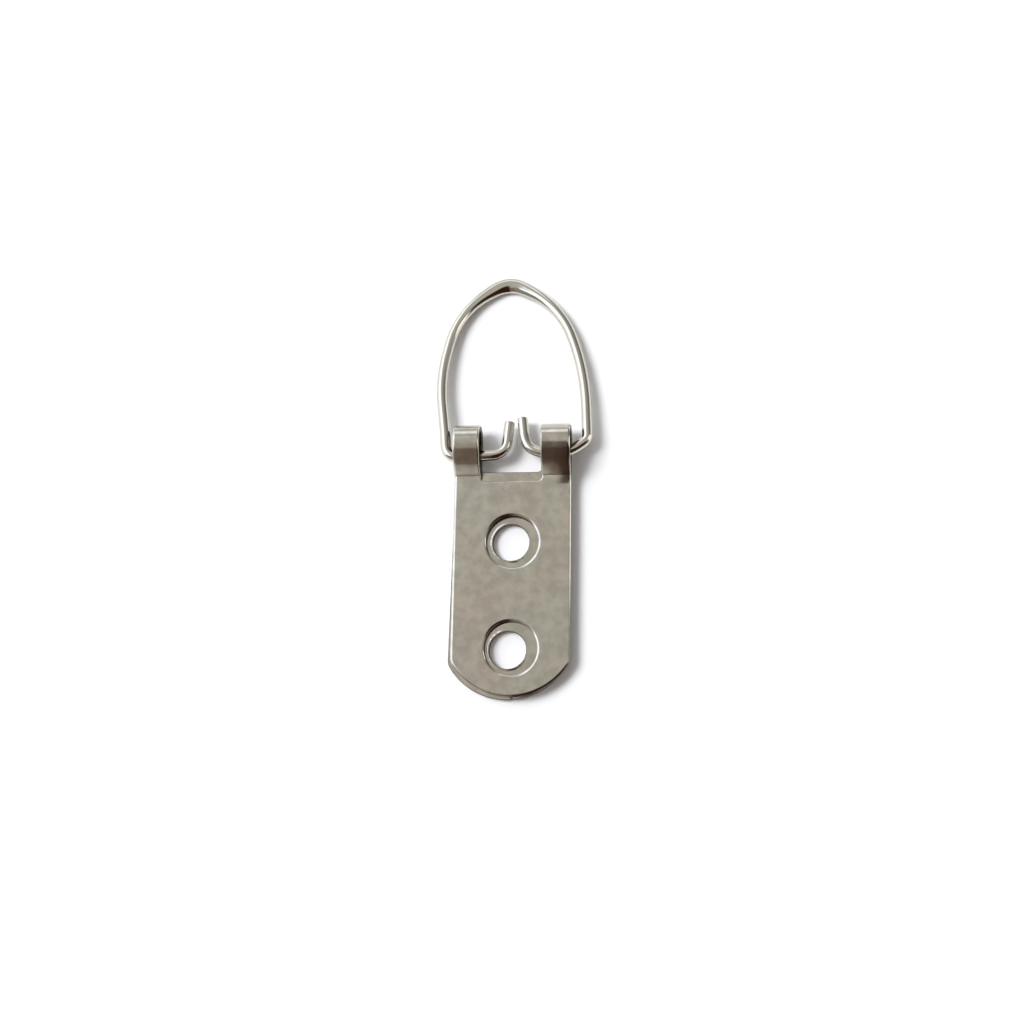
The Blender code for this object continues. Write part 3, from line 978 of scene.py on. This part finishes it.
def light_world():
    """Studio of cards with a dark front. The camera sees it white, and metal a white backdrop."""
    world = bpy.data.worlds.new("studio")
    bpy.context.scene.world = world
    nodes = bare_nodes(world)
    facing = nodes.add("TexCoord").outputs["Generated"]
    sky = OVERHEAD
    for sizes in CARDS:
        sky = card(nodes, facing, sky, *sizes)
    sky = card(nodes, facing, front(nodes, facing, sky), *FRONT_CARD)
    paths = nodes.add("LightPath").outputs
    mirrored = nodes.math("MAXIMUM", paths["Is Glossy Ray"], paths["Is Transmission Ray"])
    height = nodes.add("SeparateXYZ", Vector=facing).outputs[2]
    above = soft_step(nodes, height, BACKDROP_TOP, BACKDROP_RIM)
    mirrored = nodes.math("MULTIPLY", mirrored, nodes.math("SUBTRACT", 1.0, above))
    sky = nodes.mix(nodes.math("MAXIMUM", paths["Is Camera Ray"], mirrored), sky, WHITE)
    glow = nodes.add("Background", Color=sky, Strength=1.0)
    nodes.add("OutputWorld", Surface=glow.outputs[0])


def add_sun():
    """Soft key light from the upper left. Metal mirrors the white card there, not this light."""
    data = bpy.data.lights.new("key", "SUN")
    data.energy = SUN_STRENGTH
    data.angle = SUN_ANGLE
    sun = bpy.data.objects.new("key", data)
    sun.rotation_mode = "QUATERNION"
    sun.rotation_quaternion = SUN_FROM.to_track_quat("Z", "Y")
    sun.visible_glossy = False
    bpy.context.collection.objects.link(sun)


def add_near_card():
    """White card at the right, which the metal mirrors and which lights nothing else."""
    material = bpy.data.materials.new("near_card_white")
    nodes = bare_nodes(material)
    glow = nodes.add("Emission", Color=(*WHITE, 1.0), Strength=NEAR_CARD_GLOW)
    nodes.add("OutputMaterial", Surface=glow.outputs[0])

    bm = bmesh.new()
    near, far = NEAR_CARD_SPAN
    corners = ((near, 0.0), (far, 0.0), (far, NEAR_CARD_HEIGHT), (near, NEAR_CARD_HEIGHT))
    bm.faces.new([bm.verts.new((NEAR_CARD_X, y, z)) for y, z in corners])
    near_card = make_object("near_card", bm, material)
    near_card.visible_camera = False
    near_card.visible_diffuse = False
    near_card.visible_shadow = False


def add_table():
    """White table that keeps the object's shadow and glows a little where it is seen or mirrored."""
    material = bpy.data.materials.new("table_white")
    nodes = bare_nodes(material)
    paths = nodes.add("LightPath").outputs
    seen = nodes.math("MAXIMUM", paths["Is Camera Ray"], paths["Is Glossy Ray"])
    seen = nodes.math("MAXIMUM", seen, paths["Is Transmission Ray"])
    paper = nodes.add("BsdfDiffuse", Color=(TABLE_WHITE, TABLE_WHITE, TABLE_WHITE, 1.0))
    brightness = nodes.math("MULTIPLY", seen, TABLE_GLOW)
    glow = nodes.add("Emission", Color=(*WHITE, 1.0), Strength=brightness)
    both = nodes.add("AddShader", i0=paper.outputs[0], i1=glow.outputs[0])
    nodes.add("OutputMaterial", Surface=both.outputs[0])

    bm = bmesh.new()
    bmesh.ops.create_grid(bm, x_segments=1, y_segments=1, size=TABLE_SIZE / 2)
    table = make_object("table", bm, material)
    table.location.z = -TABLE_DROP


def add_camera():
    """Camera at the photograph's place."""
    data = bpy.data.cameras.new("camera")
    data.lens = LENS
    data.sensor_width = SENSOR
    data.clip_start = CLIP_NEAR
    data.clip_end = CLIP_FAR
    camera = bpy.data.objects.new("camera", data)
    bpy.context.collection.objects.link(camera)
    forward = (CAMERA_TARGET - CAMERA_PLACE).normalized()
    upright = Vector((-math.sin(CAMERA_LEAN), math.cos(CAMERA_LEAN), 0.0))
    right = forward.cross(upright).normalized()
    turned = Matrix((right, right.cross(forward), -forward)).transposed().to_4x4()
    camera.matrix_world = Matrix.Translation(CAMERA_PLACE) @ turned
    bpy.context.scene.camera = camera


bpy.context.scene.view_settings.view_transform = "Standard"
add_camera()
light_world()
add_sun()
add_table()
add_near_card()
build_strap()
build_ring()
